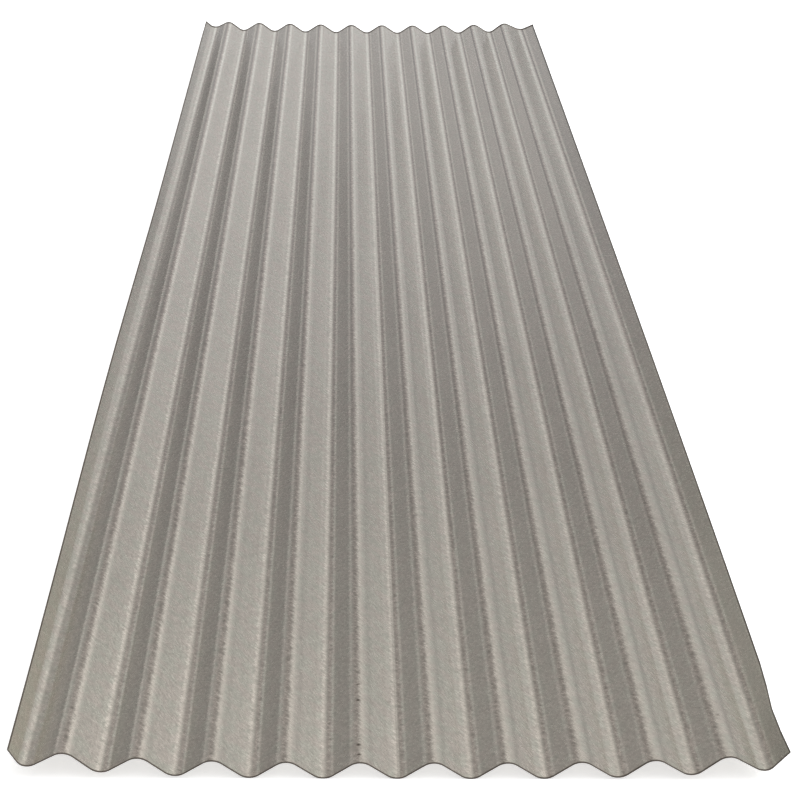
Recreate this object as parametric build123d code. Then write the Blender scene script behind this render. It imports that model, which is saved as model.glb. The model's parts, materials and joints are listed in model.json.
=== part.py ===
from build123d import *

import math
import os

# Corrugated roofing sheet: one thin metal strip, roll-formed into even waves and cut square at both ends.
# Millimetres. X runs across the waves, Y along them, and +Z is up from the floor that the sheet lies on.

# Sheet
sheet_length = 3600.0
sheet_thickness = 0.3

# Waves, measured on the middle of the metal
wave_pitch = 76.0
wave_depth = 18.0
flank_flat = 21.75  # straight stretch between the bend of a trough and the bend of a crest
troughs_each_side = 5  # troughs to either side of the middle one

# Lift of the sides: each trough away from the middle turns up this much more, in degrees, than the one before
left_extra_turn = 0.5
right_extra_turn = 0.4

# Side edges: a half wave that bends up tighter and steeper than the rest, and ends in a straight lip
edge_bend_radius = 12.0
left_edge_angle = 58.0  # degrees above level
left_edge_flat = 16.5
right_edge_angle = 48.0
right_edge_flat = 24.5

# Slope of the flanks in degrees, and the bend radius that joins them at this pitch and depth
half_pitch = wave_pitch / 2
flank_slope = 2 * math.atan(wave_depth / (half_pitch + flank_flat))
flank_angle = math.degrees(flank_slope)
wave_bend_radius = (wave_depth - flank_flat * math.sin(flank_slope)) / (2 * (1 - math.cos(flank_slope)))


def side_stretches(extra_turn, edge_angle, edge_flat):
    """Bends from the middle trough out to one side edge, as turn, bend radius and the flat that follows."""
    stretches = [(flank_angle, wave_bend_radius, flank_flat)]
    lift_angle = 0
    for trough in range(1, troughs_each_side):
        trough_turn = 2 * flank_angle + extra_turn * trough
        stretches.append((-2 * flank_angle, wave_bend_radius, flank_flat))
        stretches.append((trough_turn, wave_bend_radius, flank_flat))
        lift_angle += extra_turn * trough
    stretches.append((-2 * flank_angle, wave_bend_radius, flank_flat))
    stretches.append((flank_angle - lift_angle, wave_bend_radius, 0))
    stretches.append((edge_angle, edge_bend_radius, edge_flat))
    return stretches


def surface_line(side, rise, stretches):
    """One face of the metal, this far above its middle, from the middle trough out to a side (+1 or -1)."""
    edges = []
    point = Vector(0, rise)
    heading = 0
    for turn, bend_radius, flat in stretches:
        face_radius = bend_radius - math.copysign(rise, rise * turn)
        tangent = Vector(side, 0).rotate(Axis.Z, side * heading)
        bend = JernArc(point, tangent, face_radius, side * turn)
        edges.append(bend)
        point = bend @ 1
        heading += turn
        if flat > 0:
            straight = PolarLine(point, flat, direction=bend % 1)
            edges.append(straight)
            point = straight @ 1
    return edges


def sheet_section():
    """Closed outline of the sheet's cross section, with the middle of its middle trough at the origin."""
    sides = {
        -1: side_stretches(left_extra_turn, left_edge_angle, left_edge_flat),
        1: side_stretches(right_extra_turn, right_edge_angle, right_edge_flat),
    }
    outline = []
    for side, stretches in sides.items():
        upper = surface_line(side, sheet_thickness / 2, stretches)
        lower = surface_line(side, -sheet_thickness / 2, stretches)
        side_cut = Line(upper[-1] @ 1, lower[-1] @ 1)
        outline += upper + lower + [side_cut]
    return make_face(outline)


def corrugated_sheet():
    """The section run along the sheet's length, centred over the origin and resting on its middle troughs."""
    sheet = extrude(Plane.XZ * sheet_section(), amount=sheet_length / 2, both=True)
    box = sheet.bounding_box()
    return Pos(-box.center().X, 0, sheet_thickness / 2) * sheet


os.makedirs("parts", exist_ok=True)
export_step(corrugated_sheet(), "parts/corrugated_sheet.step")
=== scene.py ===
import json
import math

import bpy
from mathutils import Matrix, Vector


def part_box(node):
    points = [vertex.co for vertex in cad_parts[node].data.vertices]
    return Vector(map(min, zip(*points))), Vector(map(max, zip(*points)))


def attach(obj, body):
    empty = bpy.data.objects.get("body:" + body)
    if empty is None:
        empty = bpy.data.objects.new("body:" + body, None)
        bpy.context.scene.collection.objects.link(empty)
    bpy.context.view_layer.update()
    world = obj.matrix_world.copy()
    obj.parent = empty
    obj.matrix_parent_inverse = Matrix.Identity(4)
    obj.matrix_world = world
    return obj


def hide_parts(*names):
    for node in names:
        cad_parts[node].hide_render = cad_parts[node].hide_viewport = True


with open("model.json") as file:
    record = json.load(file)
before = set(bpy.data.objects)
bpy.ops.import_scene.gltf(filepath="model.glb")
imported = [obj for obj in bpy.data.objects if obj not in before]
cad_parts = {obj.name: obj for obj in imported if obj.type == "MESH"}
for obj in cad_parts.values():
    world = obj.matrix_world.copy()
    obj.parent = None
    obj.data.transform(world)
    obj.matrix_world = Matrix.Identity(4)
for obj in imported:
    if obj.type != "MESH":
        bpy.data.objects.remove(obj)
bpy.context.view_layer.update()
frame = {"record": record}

# Corrugated roofing sheet: one thin metal strip, roll-formed into even waves and cut square at both
# ends. Metres. X runs across the waves, Y along them, and +Z is up from the floor that the sheet lies on.

# The strip and its waves, measured on the middle of the metal
sheet_thickness = 0.0003
wave_pitch = 0.076
wave_depth = 0.018
flank_flat = 0.02175
troughs_each_side = 5
left_extra_turn = math.radians(0.5)
right_extra_turn = math.radians(0.4)
edge_bend_radius = 0.012
left_edge_angle = math.radians(58)
left_edge_flat = 0.0165
right_edge_angle = math.radians(48)
right_edge_flat = 0.0245
flank_angle = 2 * math.atan(wave_depth / (wave_pitch / 2 + flank_flat))
wave_bend_radius = (wave_depth - flank_flat * math.sin(flank_angle)) / (2 * (1 - math.cos(flank_angle)))
strip_per_wave = 4 * wave_bend_radius * flank_angle + 2 * flank_flat

# Where the sheet lies in the frame
sheet_low, sheet_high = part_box("corrugated_sheet")
front_end = sheet_low[1]
back_end = sheet_high[1]
seat = next(mount for mount in frame["record"]["mounts"] if mount["name"] == "purlin_seat")
middle_trough = Vector((seat["pos_m"][0], front_end, sheet_thickness / 2))

# How the lying sheet differs from its rolled section. The left side sags towards the back, the
# outermost troughs are shallower there, the left lip bows out in mid length, and the right lip opens
# out from near the front on and is narrower for a short way behind the front corner.
left_corner_sag = 0.009
left_sag_power = 3
left_trough_rise = 0.006
left_trough_in = 0.006
left_bow_out = 0.0035
left_bow_middle = 1.1
left_bow_half_length = 1.0
right_trough_rise = 0.003
right_lip_out = 0.009
right_lip_down = 0.008
right_lip_opens_over = 0.8
right_lip_narrower = 0.0046
right_narrow_middle = 0.088
right_narrow_half_length = 0.10

# How finely the mesh is divided
steps_per_radian = 20
fewest_bend_steps = 2
rows_along_sheet = 72
merge_reach = 0.00002
smooth_angle = math.radians(30)

# Coated metal
coated_grey = (0.385, 0.370, 0.328, 1)
coated_pink = (0.402, 0.360, 0.326, 1)
roll_brown = (0.376, 0.322, 0.291, 1)
metal_share = 0.8
satin_roughness = 0.26
coat_shine = 0.05

# Grain of the metal: slanted scratches and small crystals in their shares
grain_size = 0.003
grain_slant = math.radians(-34)
grain_contrast = 0.95
grain_roughness = 0.10
grain_relief = 0.00016
scratch_stretch = (1, 0.3, 1)
scratch_detail = 3
scratch_share = 0.8
crystals_per_grain = 2
crystal_share = 0.2

# Wider patterns: sizes, and how much each changes the shade or the colour
pattern_middle = 0.5
plain_detail = 2
mottle_size = 0.020
mottle_detail = 4
mottle_from = 0.38
mottle_to = 0.62
cloud_size = 0.16
cloud_contrast = 0.12
streak_size = 0.012
streak_stretch = (1, 0.02, 1)
streak_contrast = 0.05

# How much further on a roll mark, with the painted highlight and painted shade that it carries, is at
# each wave, at the front end and at the back end, so that the painted highlights move across the sheet as
# a reflection does
trough_drift = (0.004, -0.005)
crest_drift = (-0.006, -0.011)
flank_drift = (-0.003, -0.006)
no_drift = (0, 0)

# Lines along every wave: partly marks that the rolls leave, partly painted highlight and painted shade.
# The rubs and light lines are partly painted highlight; the other entries are painted shade and painted
# light.
# Place in waves past the trough, half width, how ragged, drift, and the change of shade at the front
# left, front right, back left and back right corners of the sheet
half_wave = 0.5
broad_ragged = 0.05
line_ragged = 0.02
wave_marks_and_shading = {
    "trough_rub_and_highlight": (0.004, 0.059, broad_ragged, trough_drift, (0.62, 0.31, 0.90, 0.45)),
    "shade_right_of_trough": (0.076, 0.034, line_ragged, trough_drift, (0.00, 0.14, 0.00, -0.66)),
    "left_flank_low_line": (0.117, 0.034, line_ragged, trough_drift, (0.52, 0.28, 0.58, 0.24)),
    "left_flank_shade": (0.250, 0.150, broad_ragged, no_drift, (0.00, 0.00, -0.10, 0.12)),
    "left_flank_high_line": (0.380, 0.038, line_ragged, flank_drift, (0.53, 0.17, 0.70, 0.04)),
    "shade_left_of_crest": (0.430, 0.038, line_ragged, crest_drift, (0.00, -0.03, -0.42, -0.76)),
    "crest_rub_and_highlight": (0.517, 0.054, broad_ragged, crest_drift, (0.34, 0.12, 0.58, 0.44)),
    "shade_right_of_crest": (0.625, 0.090, broad_ragged, no_drift, (-0.04, -0.28, 0.09, 0.03)),
    "right_flank_low_light": (0.887, 0.160, broad_ragged, no_drift, (0.04, 0.00, 0.06, 0.08)),
}
mark_grain = 1.6

# The rubs, with the painted highlight that they carry, also have a colour of their own
rubs_and_highlights = ("trough_rub_and_highlight", "crest_rub_and_highlight")
rub_highlight_front = (0.402, 0.362, 0.323, 1)
rub_highlight_back = (0.375, 0.374, 0.341, 1)
rub_highlight_share = 0.75

# Coarser brown bands beside the rubs: place, half width and drift. The left flanks are pinker.
brown_bands = [(0.455, 0.080, crest_drift), (0.066, 0.050, trough_drift)]
brown_band_share = 0.85
brown_band_grain = 1.1
pink_flank_place = 0.26
pink_flank_half_width = 0.17
pink_flank_share = 0.65

# Towards the front, the outermost left trough has less of its rub and painted highlight, the flank beside
# it has less of its marks and painted shade, and the front corner of that flank is painted lighter.
# Places are in waves from the middle trough.
left_trough_from_place = -4.85
left_trough_full_place = -4.93
left_trough_front_cut = 0.6
left_flank_from_place = -4.62
left_flank_full_place = -4.82
left_flank_front_cut = 0.75
left_corner_reach = 0.5
left_corner_change = 0.15

# The side lips are painted lighter towards the front end and darker towards the back end, painted light
# and shade for how the lips face the lamps, and a light line runs along the foot of the right one
lip_from_place = 5.06
lip_full_place = 5.16
lip_front_change = 0.23
lip_front_reach = 0.8
lip_back_change = -0.30
lip_back_reach = 2.4
right_lip_line_place = 0.12
right_lip_line_half_width = 0.03
right_lip_line_change = 0.22

# Dust that gathers from mid length towards the front end, and more of it on the lips
dust_tan = (0.390, 0.390, 0.270, 1)
dust_share = 0.12
lip_dust_share = 0.16

# Dirt near the front end: place in waves from the middle trough, distance from the front end, radius
# and strength
dirt_brown = (0.050, 0.040, 0.032, 1)
dirt_ragged_size = 0.003
dirt_least_radius = 0.5
dirt_extra_roughness = 0.6
dirt_spots = [
    (-0.520, 0.134, 0.0045, 1.00),
    (-0.520, 0.038, 0.0042, 1.00),
    (-0.515, 0.018, 0.0040, 1.00),
    (-0.605, 0.050, 0.0036, 0.50),
    (-0.560, 0.036, 0.0180, 0.16),
    (-0.515, 0.170, 0.0034, 0.85),
    (-0.530, 0.152, 0.0028, 0.50),
    (-0.080, 0.160, 0.0045, 0.24),
    (0.030, 0.116, 0.0080, 0.20),
    (0.945, 0.232, 0.0045, 0.26),
    (0.810, 0.038, 0.0032, 0.22),
    (4.510, 0.090, 0.0044, 0.45),
]

# Sheared edges: the cut face, and the dark line on the metal beside it, partly real edge darkening and
# partly painted shade
cut_brown = (0.060, 0.047, 0.038, 1)
cut_roughness = 0.5
cut_grain_size = 0.0006
front_cut_line = 0.0036
# The wide line along the back end is mostly painted shade along the edge
back_cut_shade_line = 0.0200
left_cut_line = 0.0030
right_cut_line = 0.0022
cut_line_full = 0.5
cut_line_share = 0.92

# Studio
floor_size = 400
floor_white = (0.8, 0.8, 0.8, 1)
floor_glow = 0.6
sky_white = (1, 1, 1, 1)
sky_top_strength = 1.04
sky_top_way = (0, 0, 1)
sky_top_focus = 1
sky_right_strength = 2.05
sky_right_way = (0.8, 0.3, 0.5)
sky_right_focus = 4
panel_watts = 10

# Light panels: middle, the point that each faces, width and height, and brightness
light_panels = {
    "low_back_panel": ((-0.1, 4.0, 0.26), (-0.1, 0.0, 0.26), (1.6, 0.48), 0.135),
    "middle_back_panel": ((-0.22, 3.9, 0.56), (-0.22, 0.0, 0.56), (0.85, 0.38), 0.055),
    "wide_back_panel": ((-0.1, 4.0, 0.85), (-0.1, 0.0, 0.85), (3.2, 0.70), 0.132),
    "upper_back_panel": ((0.1, 4.0, 1.70), (0.1, 0.0, 1.70), (1.2, 1.00), 0.065),
    "high_back_panel": ((1.0, 2.8, 3.20), (0.0, 0.0, 0.00), (2.5, 2.00), 0.050),
    "left_back_panel": ((-2.2, 2.5, 1.60), (0.0, 0.0, 0.00), (2.0, 2.00), 0.094),
}

# Camera, placed from the front end of the middle trough
camera_sensor = 36
camera_lens = 103.29
camera_tilt = math.radians(21.251)
camera_roll = math.radians(1.003)
camera_yaw = math.radians(-1.642)
camera_from_trough = Vector((-0.06282, -2.06011, 1.21997))


def side_stretches(extra_turn, edge_angle, edge_flat):
    """Bends from the middle trough out to one side: turn, bend radius and the flat that follows."""
    stretches = [(flank_angle, wave_bend_radius, flank_flat)]
    lift_angle = 0
    for trough in range(1, troughs_each_side):
        stretches.append((-2 * flank_angle, wave_bend_radius, flank_flat))
        stretches.append((2 * flank_angle + extra_turn * trough, wave_bend_radius, flank_flat))
        lift_angle += extra_turn * trough
    stretches.append((-2 * flank_angle, wave_bend_radius, flank_flat))
    stretches.append((flank_angle - lift_angle, wave_bend_radius, 0))
    stretches.append((edge_angle, edge_bend_radius, edge_flat))
    return stretches


def select_only(sheet, wanted, kind="VERT"):
    """Selects the vertices or edges that wanted says yes to, and nothing else, in edit mode."""
    bpy.ops.mesh.select_mode(type=kind)
    bpy.ops.mesh.select_all(action="DESELECT")
    bpy.ops.object.mode_set(mode="OBJECT")
    elements = sheet.data.vertices if kind == "VERT" else sheet.data.edges
    for element in elements:
        element.select = wanted(element)
    bpy.ops.object.mode_set(mode="EDIT")


def roll_out_side(side, stretches):
    """Rolls the strip from the middle trough out to one side (+1 or -1), a spin for each bend.

    Returns each new vertex's place along the strip, counted in waves from the middle trough.
    """
    point = middle_trough.copy()
    heading = 0
    strip = 0
    places = []
    for turn, bend_radius, flat in stretches:
        inward = Vector((-side * math.sin(heading), 0, math.cos(heading)))
        centre = point + inward * math.copysign(bend_radius, turn)
        steps = max(fewest_bend_steps, round(abs(turn) * steps_per_radian))
        bpy.ops.mesh.spin(steps=steps, angle=side * turn, center=centre, axis=(0, 1, 0))
        point = centre + Matrix.Rotation(-side * turn, 3, "Y") @ (point - centre)
        heading += turn
        bend_strip = bend_radius * min(abs(turn), 2 * flank_angle)
        for step in range(1, steps + 1):
            places.append(side * (strip + bend_strip * step / steps) / strip_per_wave)
        strip += bend_strip
        if flat > 0:
            run = flat * Vector((side * math.cos(heading), 0, math.sin(heading)))
            bpy.ops.mesh.extrude_vertices_move(TRANSFORM_OT_translate={"value": run})
            point = point + run
            strip += flat
            places.append(side * strip / strip_per_wave)
    return places


def hump(value, middle, half_width):
    """Smoothly 1 in the middle, and 0 from the half width on."""
    nearness = max(0, 1 - abs(value - middle) / half_width)
    return nearness * nearness * (3 - 2 * nearness)


def push(sheet, direction, distance, share_at):
    """Moves every vertex along an axis by its own share of a distance.

    share_at gives the share from the place in waves and the distance from the front end.
    """
    places = [entry.value for entry in sheet.data.attributes["wave_place"].data]
    shares = sheet.vertex_groups.new(name="push_share")
    for vertex, place in zip(sheet.data.vertices, places):
        shares.add([vertex.index], share_at(place, vertex.co.y - front_end), "REPLACE")
    move = sheet.modifiers.new("push", "DISPLACE")
    move.direction = direction
    move.mid_level = 0
    move.strength = distance
    move.vertex_group = shares.name
    bpy.ops.object.modifier_apply(modifier=move.name)
    sheet.vertex_groups.clear()


def settle_on_floor(sheet, left_side, right_side):
    """The small ways in which the lying sheet differs from its rolled section."""
    length = back_end - front_end
    left_lip = (edge_bend_radius * left_edge_angle + left_edge_flat) / strip_per_wave
    right_lip = (edge_bend_radius * right_edge_angle + right_edge_flat) / strip_per_wave
    left_trough = left_side + left_lip
    right_trough = right_side - right_lip

    def left_sag(place, from_front):
        past_first_trough = max(0, -1 - place)
        towards_side = min(1, past_first_trough / (troughs_each_side - 1))
        return towards_side ** left_sag_power * from_front / length

    def left_trough_share(place, from_front):
        return hump(place, left_trough, left_lip) * from_front / length

    def left_bow(place, from_front):
        up_the_lip = min(1, max(0, (left_trough - place) / left_lip))
        return up_the_lip * hump(from_front, left_bow_middle, left_bow_half_length)

    def right_trough_share(place, from_front):
        return hump(place, right_trough, right_lip) * from_front / length

    def right_opening(place, from_front):
        up_the_lip = min(1, max(0, (place - right_trough) / right_lip))
        return up_the_lip * (1 - math.exp(-from_front / right_lip_opens_over))

    def right_narrowing(place, from_front):
        up_the_flat = max(0, 1 - (right_side - place) * strip_per_wave / right_edge_flat)
        return up_the_flat * hump(from_front, right_narrow_middle, right_narrow_half_length)

    push(sheet, "Z", -left_corner_sag, left_sag)
    push(sheet, "Z", left_trough_rise, left_trough_share)
    push(sheet, "X", left_trough_in, left_trough_share)
    push(sheet, "X", -left_bow_out, left_bow)
    push(sheet, "Z", right_trough_rise, right_trough_share)
    push(sheet, "X", right_lip_out, right_opening)
    push(sheet, "Z", -right_lip_down, right_opening)
    push(sheet, "X", -right_lip_narrower * math.cos(right_edge_angle), right_narrowing)
    push(sheet, "Z", -right_lip_narrower * math.sin(right_edge_angle), right_narrowing)


def model_sheet():
    """The rolled strip, drawn out along its length and given the thickness of the metal."""
    bpy.ops.object.select_all(action="DESELECT")
    bpy.ops.mesh.primitive_plane_add(size=flank_flat, location=middle_trough)
    sheet = bpy.context.active_object
    sheet.name = "corrugated_sheet_metal"
    bpy.ops.object.transform_apply(location=True, rotation=True, scale=True)
    bpy.ops.object.mode_set(mode="EDIT")
    bpy.ops.mesh.select_mode(type="VERT")
    bpy.ops.mesh.merge(type="CENTER")
    places = [0.0]
    places += roll_out_side(1, side_stretches(right_extra_turn, right_edge_angle, right_edge_flat))
    select_only(sheet, lambda vertex: (vertex.co - middle_trough).length < merge_reach)
    places += roll_out_side(-1, side_stretches(left_extra_turn, left_edge_angle, left_edge_flat))
    bpy.ops.object.mode_set(mode="OBJECT")
    wave_place = sheet.data.attributes.new("wave_place", "FLOAT", "POINT")
    wave_place.data.foreach_set("value", places)
    bpy.ops.object.mode_set(mode="EDIT")
    bpy.ops.mesh.select_all(action="SELECT")
    bpy.ops.mesh.extrude_region_move(TRANSFORM_OT_translate={"value": (0, back_end - front_end, 0)})

    def runs_lengthwise(edge):
        ends = [sheet.data.vertices[index].co.y for index in edge.vertices]
        return abs(ends[0] - ends[1]) > merge_reach

    select_only(sheet, runs_lengthwise, "EDGE")
    bpy.ops.mesh.subdivide(number_cuts=rows_along_sheet - 1)
    bpy.ops.mesh.select_all(action="SELECT")
    bpy.ops.mesh.remove_doubles(threshold=merge_reach)
    bpy.ops.mesh.normals_make_consistent(inside=False)
    bpy.ops.object.mode_set(mode="OBJECT")
    settle_on_floor(sheet, min(places), max(places))
    sheet.data.materials.append(coated_metal((min(places), max(places))))
    sheet.data.materials.append(sheared_metal())
    wall = sheet.modifiers.new("metal_thickness", "SOLIDIFY")
    wall.thickness = sheet_thickness
    wall.offset = 0
    wall.material_offset_rim = 1
    bpy.ops.object.modifier_apply(modifier=wall.name)
    bpy.ops.object.shade_smooth_by_angle(angle=smooth_angle)
    return sheet


def add_node(tree, kind, inputs, **settings):
    """Adds a node with its settings. Each input, by name or number, gets a value or a link."""
    node = tree.nodes.new(kind)
    for name, value in settings.items():
        setattr(node, name, value)
    for name, value in inputs.items():
        if isinstance(value, bpy.types.NodeSocket):
            tree.links.new(value, node.inputs[name])
        else:
            node.inputs[name].default_value = value
    return node


def calculate(tree, operation, first, second=0.0):
    inputs = {0: first, 1: second}
    return add_node(tree, "ShaderNodeMath", inputs, operation=operation).outputs["Value"]


def product(tree, first, second):
    return calculate(tree, "MULTIPLY", first, second)


def total(tree, first, second):
    return calculate(tree, "ADD", first, second)


def larger(tree, first, second):
    return calculate(tree, "MAXIMUM", first, second)


def remainder(tree, share):
    return calculate(tree, "SUBTRACT", 1.0, share)


def swing(tree, pattern, amount):
    """A pattern around one half, as a change of up to half the amount either way."""
    return product(tree, calculate(tree, "SUBTRACT", pattern, pattern_middle), amount)


def fade(tree, value, none_at, full_at):
    """Goes smoothly from 0, where the value is none_at, to 1, where it is full_at."""
    inputs = {"Value": value, "From Min": none_at, "From Max": full_at}
    node = add_node(tree, "ShaderNodeMapRange", inputs, interpolation_type="SMOOTHSTEP")
    return node.outputs["Result"]


def ramp(tree, value, first, last, at_first, at_last):
    """Goes evenly from at_first, where the value is first, to at_last, where it is last."""
    inputs = {
        "Value": value,
        "From Min": first,
        "From Max": last,
        "To Min": at_first,
        "To Max": at_last,
    }
    return add_node(tree, "ShaderNodeMapRange", inputs).outputs["Result"]


def front_to_back(tree, along, at_front, at_back):
    """Goes evenly from one value at the front end to another at the back end."""
    return ramp(tree, along, front_end, back_end, at_front, at_back)


def cut_line_mask(tree, value, edge, width):
    """Full from the edge for the first share of the width, and none at its end."""
    return fade(tree, value, edge + width, edge + width * cut_line_full)


def blotches(tree, position, size, detail=plain_detail):
    inputs = {"Vector": position, "Scale": 1 / size, "Detail": detail}
    return add_node(tree, "ShaderNodeTexNoise", inputs).outputs["Fac"]


def stretched(tree, position, scale):
    inputs = {"Vector": position, "Scale": scale}
    return add_node(tree, "ShaderNodeMapping", inputs).outputs["Vector"]


def blended(tree, share, plain, other):
    inputs = {0: share, 6: plain, 7: other}
    return add_node(tree, "ShaderNodeMix", inputs, data_type="RGBA").outputs[2]


def scaled(tree, vector, scale):
    inputs = {0: vector, "Scale": scale}
    return add_node(tree, "ShaderNodeVectorMath", inputs, operation="SCALE").outputs["Vector"]


def new_group(name, inputs, outputs):
    """A node group with these named sockets, and the sockets to build between."""
    group = bpy.data.node_groups.new(name, "ShaderNodeTree")
    for socket in inputs:
        kind = "NodeSocketVector" if socket == "Position" else "NodeSocketFloat"
        group.interface.new_socket(socket, in_out="INPUT", socket_type=kind)
    for socket in outputs:
        group.interface.new_socket(socket, in_out="OUTPUT", socket_type="NodeSocketFloat")
    given = group.nodes.new("NodeGroupInput").outputs
    result = group.nodes.new("NodeGroupOutput").inputs
    return group, given, result


def fine_grain_group():
    """Fine slanted grain of rolled metal: a shade around one half, and a height for its relief."""
    sockets = ["Position", "Grain Size", "Slant"]
    group, given, result = new_group("fine_grain", sockets, ["Shade", "Height"])
    turn = {"Vector": given["Position"], "Angle": given["Slant"]}
    turned = add_node(group, "ShaderNodeVectorRotate", turn, rotation_type="Z_AXIS").outputs["Vector"]
    in_grains = scaled(group, turned, calculate(group, "DIVIDE", 1.0, given["Grain Size"]))
    scratches = blotches(group, stretched(group, in_grains, scratch_stretch), 1, scratch_detail)
    cells = {"Vector": in_grains, "Scale": crystals_per_grain}
    crystals = add_node(group, "ShaderNodeTexVoronoi", cells).outputs["Color"]
    crystal = add_node(group, "ShaderNodeSeparateColor", {"Color": crystals}).outputs["Red"]
    scratch_part = product(group, scratches, scratch_share)
    crystal_part = product(group, crystal, crystal_share)
    group.links.new(total(group, scratch_part, crystal_part), result["Shade"])
    group.links.new(scratches, result["Height"])
    return group


def wave_line_group():
    """A line along every wave at one place of it: full in its middle, none from its half width on."""
    sockets = ["Wave Place", "Middle", "Half Width", "Drift"]
    group, given, result = new_group("wave_line", sockets, ["Mask"])
    drifted = product(group, given["Wave Place"], remainder(group, given["Drift"]))
    past_middle = calculate(group, "SUBTRACT", drifted, given["Middle"])
    away = calculate(group, "PINGPONG", past_middle, half_wave)
    group.links.new(fade(group, away, given["Half Width"], 0.0), result["Mask"])
    return group


def dirt_spot_group():
    """One ragged spot of dirt on the strip."""
    sockets = ["Across", "Along", "Ragged", "Spot Across", "Spot Along", "Radius"]
    group, given, result = new_group("dirt_spot", sockets, ["Mask"])
    off_across = calculate(group, "SUBTRACT", given["Across"], given["Spot Across"])
    off_along = calculate(group, "SUBTRACT", given["Along"], given["Spot Along"])
    offset = add_node(group, "ShaderNodeCombineXYZ", {"X": off_across, "Y": off_along}).outputs["Vector"]
    away = add_node(group, "ShaderNodeVectorMath", {0: offset}, operation="LENGTH").outputs["Value"]
    ragged_radius = product(group, given["Radius"], given["Ragged"])
    group.links.new(fade(group, away, ragged_radius, 0.0), result["Mask"])
    return group


def marked(tree, place, along, middle, half_width, drift):
    """Where one of the lines along the waves covers the metal, from 0 to 1."""
    drift_here = front_to_back(tree, along, *drift)
    inputs = {"Wave Place": place, "Middle": middle, "Half Width": half_width, "Drift": drift_here}
    return add_node(tree, "ShaderNodeGroup", inputs, node_tree=wave_line).outputs["Mask"]


def kept_towards_back(tree, along, area, front_cut):
    """What stays of the marks in an area where they are cut at the front end and whole at the back."""
    return remainder(tree, product(tree, area, front_to_back(tree, along, front_cut, 0.0)))


def between_corners(tree, place, along, sides, corners):
    """A value that changes evenly between front left, front right, back left and back right."""
    front_left, front_right, back_left, back_right = corners
    at_front = ramp(tree, place, *sides, front_left, front_right)
    at_back = ramp(tree, place, *sides, back_left, back_right)
    return front_to_back(tree, along, at_front, at_back)


def lip_shade(tree, place, along, lip):
    """Painted light and shade on the side lips, and the light line along the foot of the right one."""
    at_front = fade(tree, along, front_end + lip_front_reach, front_end)
    at_back = fade(tree, along, front_end + lip_front_reach, front_end + lip_back_reach)
    front_shade = product(tree, product(tree, lip, at_front), lip_front_change)
    back_shade = product(tree, product(tree, lip, at_back), lip_back_change)
    line_inputs = (right_lip_line_place, right_lip_line_half_width, no_drift)
    line = marked(tree, place, along, *line_inputs)
    right_line = product(tree, line, fade(tree, place, troughs_each_side, lip_from_place))
    line_shade = product(tree, right_line, right_lip_line_change)
    return total(tree, total(tree, front_shade, back_shade), line_shade)


def dirt_cover(tree, position, place, along):
    """Where each spot of dirt covers the metal, as a list of masks from 0 to 1."""
    across = product(tree, place, strip_per_wave)
    ragged = total(tree, blotches(tree, position, dirt_ragged_size), dirt_least_radius)
    covers = []
    for spot_place, from_front, radius, strength in dirt_spots:
        spot_inputs = {
            "Across": across,
            "Along": along,
            "Ragged": ragged,
            "Spot Across": spot_place * strip_per_wave,
            "Spot Along": front_end + from_front,
            "Radius": radius,
        }
        spot = add_node(tree, "ShaderNodeGroup", spot_inputs, node_tree=dirt_spot).outputs["Mask"]
        covers.append(product(tree, spot, strength))
    return covers


def cut_line_and_shade_cover(tree, place, along, sides):
    """Where the dark line beside the sheared edges, partly painted shade, covers the metal, from 0 to 1.
    """
    left_side, right_side = sides
    cut_line = cut_line_mask(tree, along, front_end, front_cut_line)
    for other_line in (
        cut_line_mask(tree, along, back_end, -back_cut_shade_line),
        cut_line_mask(tree, place, left_side, left_cut_line / strip_per_wave),
        cut_line_mask(tree, place, right_side, -right_cut_line / strip_per_wave),
    ):
        cut_line = larger(tree, cut_line, other_line)
    return product(tree, cut_line, cut_line_share)


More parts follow.
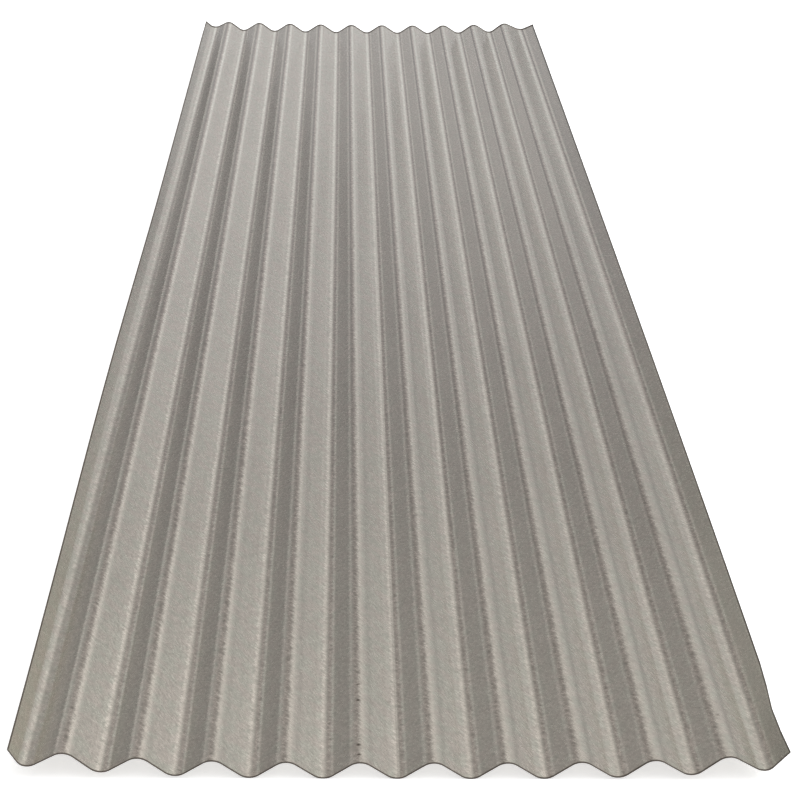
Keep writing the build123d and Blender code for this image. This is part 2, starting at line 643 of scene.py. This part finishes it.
def coated_metal(sides):
    """Satin warm grey coated steel: fine grain, roll marks with painted highlight and shade, dirt, cut
    lines partly painted shade.
    """
    material = bpy.data.materials.new("satin_coated_steel")
    material.use_nodes = True
    tree = material.node_tree
    shader = tree.nodes["Principled BSDF"]
    position = add_node(tree, "ShaderNodeTexCoord", {}).outputs["Object"]
    place = add_node(tree, "ShaderNodeAttribute", {}, attribute_name="wave_place").outputs["Fac"]
    along = add_node(tree, "ShaderNodeSeparateXYZ", {"Vector": position}).outputs["Y"]
    lip = fade(tree, calculate(tree, "ABSOLUTE", place), lip_from_place, lip_full_place)
    left_trough = fade(tree, place, left_trough_from_place, left_trough_full_place)
    left_flank = fade(tree, place, left_flank_from_place, left_flank_full_place)
    rub_highlight_kept = kept_towards_back(tree, along, left_trough, left_trough_front_cut)
    marks_kept = kept_towards_back(tree, along, left_flank, left_flank_front_cut)

    # Grain, clouds and streaks
    grain_inputs = {"Position": position, "Grain Size": grain_size, "Slant": grain_slant}
    grain = add_node(tree, "ShaderNodeGroup", grain_inputs, node_tree=fine_grain).outputs
    clouds = blotches(tree, position, cloud_size)
    streaks = blotches(tree, stretched(tree, position, streak_stretch), streak_size)
    band_place = total(tree, place, swing(tree, grain["Shade"], broad_ragged))
    brown_band = 0.0
    for middle, half_width, drift in brown_bands:
        band = marked(tree, band_place, along, middle, half_width, drift)
        brown_band = larger(tree, band, brown_band)
    brown_band = product(tree, brown_band, marks_kept)
    grain_amount = total(tree, product(tree, brown_band, brown_band_grain), grain_contrast)
    shade = total(tree, 1.0, swing(tree, grain["Shade"], grain_amount))
    shade = total(tree, shade, swing(tree, clouds, cloud_contrast))
    shade = total(tree, shade, swing(tree, streaks, streak_contrast))

    # Roll marks, with their painted highlight and painted shade
    mark_strength = total(tree, 1.0, swing(tree, grain["Shade"], mark_grain))
    rub_and_highlight = 0.0
    for name, (middle, half_width, raggedness, drift, changes) in wave_marks_and_shading.items():
        mark_place = total(tree, place, swing(tree, grain["Shade"], raggedness))
        mark = marked(tree, mark_place, along, middle, half_width, drift)
        if name in rubs_and_highlights:
            mark = product(tree, mark, rub_highlight_kept)
            rub_and_highlight = larger(tree, mark, rub_and_highlight)
        else:
            mark = product(tree, mark, marks_kept)
        change = between_corners(tree, place, along, sides, changes)
        shade = total(tree, shade, product(tree, product(tree, mark, mark_strength), change))

    # The front left corner, painted lighter, and painted light and shade on the lips
    beside_trough = calculate(tree, "SUBTRACT", left_flank, left_trough)
    at_corner = fade(tree, along, front_end + left_corner_reach, front_end)
    corner_lighter = product(tree, beside_trough, at_corner)
    shade = total(tree, shade, product(tree, corner_lighter, left_corner_change))
    shade = total(tree, shade, lip_shade(tree, place, along, lip))

    # Colour of the coat
    pink_inputs = (pink_flank_place, pink_flank_half_width, no_drift)
    pink_flank = marked(tree, band_place, along, *pink_inputs)
    mottle = fade(tree, blotches(tree, position, mottle_size, mottle_detail), mottle_from, mottle_to)
    colour = blended(tree, mottle, coated_grey, coated_pink)
    colour = blended(tree, product(tree, pink_flank, pink_flank_share), colour, coated_pink)
    colour = blended(tree, product(tree, brown_band, brown_band_share), colour, roll_brown)
    rub_highlight_colour = blended(tree, front_to_back(tree, along, 0.0, 1.0), rub_highlight_front, rub_highlight_back)
    colour = blended(tree, product(tree, rub_and_highlight, rub_highlight_share), colour, rub_highlight_colour)
    colour = scaled(tree, colour, shade)

    # Dust, dirt, and cut lines that are partly painted shade
    dust_here = total(tree, product(tree, lip, lip_dust_share), dust_share)
    dusty = fade(tree, along, (front_end + back_end) / 2, front_end)
    colour = blended(tree, product(tree, dusty, dust_here), colour, dust_tan)
    dull = 0.0
    for cover in dirt_cover(tree, position, place, along):
        colour = blended(tree, cover, colour, dirt_brown)
        dull = larger(tree, cover, dull)
    cut_line = cut_line_and_shade_cover(tree, place, along, sides)
    colour = blended(tree, cut_line, colour, cut_brown)
    dull = larger(tree, cut_line, dull)

    satin = total(tree, satin_roughness, swing(tree, grain["Shade"], grain_roughness))
    roughness = total(tree, satin, product(tree, dull, dirt_extra_roughness))
    metallic = product(tree, remainder(tree, dull), metal_share)
    relief = add_node(tree, "ShaderNodeBump", {"Height": grain["Height"], "Distance": grain_relief})
    tree.links.new(colour, shader.inputs["Base Color"])
    tree.links.new(roughness, shader.inputs["Roughness"])
    tree.links.new(metallic, shader.inputs["Metallic"])
    tree.links.new(relief.outputs["Normal"], shader.inputs["Normal"])
    shader.inputs["Specular IOR Level"].default_value = coat_shine
    return material


def sheared_metal():
    """Dark, dull metal of the sheared cut faces."""
    material = bpy.data.materials.new("sheared_edge")
    material.use_nodes = True
    tree = material.node_tree
    shader = tree.nodes["Principled BSDF"]
    position = add_node(tree, "ShaderNodeTexCoord", {}).outputs["Object"]
    grain_inputs = {"Position": position, "Grain Size": cut_grain_size}
    grain = add_node(tree, "ShaderNodeGroup", grain_inputs, node_tree=fine_grain).outputs
    shade = total(tree, 1.0, swing(tree, grain["Shade"], grain_contrast))
    colour = scaled(tree, cut_brown[:3], shade)
    tree.links.new(colour, shader.inputs["Base Color"])
    shader.inputs["Metallic"].default_value = metal_share
    shader.inputs["Roughness"].default_value = cut_roughness
    return material


def floor_material():
    """White floor that keeps the sheet's shadow and shows as bright in the metal as it does by itself."""
    material = bpy.data.materials.new("white_floor")
    material.use_nodes = True
    tree = material.node_tree
    tree.nodes.remove(tree.nodes["Principled BSDF"])
    paint = add_node(tree, "ShaderNodeBsdfDiffuse", {"Color": floor_white})
    path = add_node(tree, "ShaderNodeLightPath", {}).outputs
    seen = larger(tree, path["Is Camera Ray"], path["Is Glossy Ray"])
    seen = larger(tree, seen, path["Is Transmission Ray"])
    glow = add_node(tree, "ShaderNodeEmission", {"Strength": product(tree, seen, floor_glow)})
    both = add_node(tree, "ShaderNodeAddShader", {0: paint.outputs["BSDF"], 1: glow.outputs["Emission"]})
    tree.links.new(both.outputs["Shader"], tree.nodes["Material Output"].inputs["Surface"])
    return material


def lay_floor():
    bpy.ops.object.select_all(action="DESELECT")
    bpy.ops.mesh.primitive_plane_add(size=floor_size, location=(0, 0, 0))
    floor = bpy.context.active_object
    floor.name = "studio_floor"
    floor.data.materials.append(floor_material())


def soft_world():
    """Soft light that grows from the horizon up to the zenith, with a wide glow from the upper right."""
    world = bpy.data.worlds.new("soft_studio")
    world.use_nodes = True
    tree = world.node_tree
    tree.nodes.remove(tree.nodes["Background"])
    way = add_node(tree, "ShaderNodeTexCoord", {}).outputs["Generated"]
    glows = []
    for towards, focus, strength in (
        (sky_top_way, sky_top_focus, sky_top_strength),
        (sky_right_way, sky_right_focus, sky_right_strength),
    ):
        ways = {0: way, 1: Vector(towards).normalized()}
        facing = add_node(tree, "ShaderNodeVectorMath", ways, operation="DOT_PRODUCT").outputs["Value"]
        share = calculate(tree, "POWER", larger(tree, facing, 0.0), focus)
        light = {"Color": sky_white, "Strength": product(tree, share, strength)}
        glows.append(add_node(tree, "ShaderNodeBackground", light).outputs["Background"])
    both = add_node(tree, "ShaderNodeAddShader", {0: glows[0], 1: glows[1]})
    tree.links.new(both.outputs["Shader"], tree.nodes["World Output"].inputs["Surface"])
    bpy.context.scene.world = world


def hang_light_panels():
    for name, (middle, faces, size, brightness) in light_panels.items():
        light = bpy.data.lights.new(name, "AREA")
        light.shape = "RECTANGLE"
        light.size, light.size_y = size
        light.energy = panel_watts * brightness * light.size * light.size_y
        panel = bpy.data.objects.new(name, light)
        panel.location = middle
        panel.rotation_euler = (Vector(faces) - Vector(middle)).to_track_quat("-Z", "Y").to_euler()
        panel.visible_camera = False
        bpy.context.collection.objects.link(panel)


def place_camera():
    camera_data = bpy.data.cameras.new("photo_view")
    camera_data.sensor_width = camera_sensor
    camera_data.lens = camera_lens
    camera = bpy.data.objects.new("photo_view", camera_data)
    bpy.context.collection.objects.link(camera)
    swivel = Matrix.Rotation(camera_yaw, 4, "Z")
    look_down = Matrix.Rotation(math.pi / 2 - camera_tilt, 4, "X")
    lean = Matrix.Rotation(camera_roll, 4, "Z")
    stand = Matrix.Translation(middle_trough + camera_from_trough)
    camera.matrix_world = stand @ swivel @ look_down @ lean
    bpy.context.scene.camera = camera


fine_grain = fine_grain_group()
wave_line = wave_line_group()
dirt_spot = dirt_spot_group()

sheet = model_sheet()
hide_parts("corrugated_sheet")
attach(sheet, "root")
lay_floor()
soft_world()
hang_light_panels()
place_camera()
bpy.context.scene.view_settings.view_transform = "Standard"
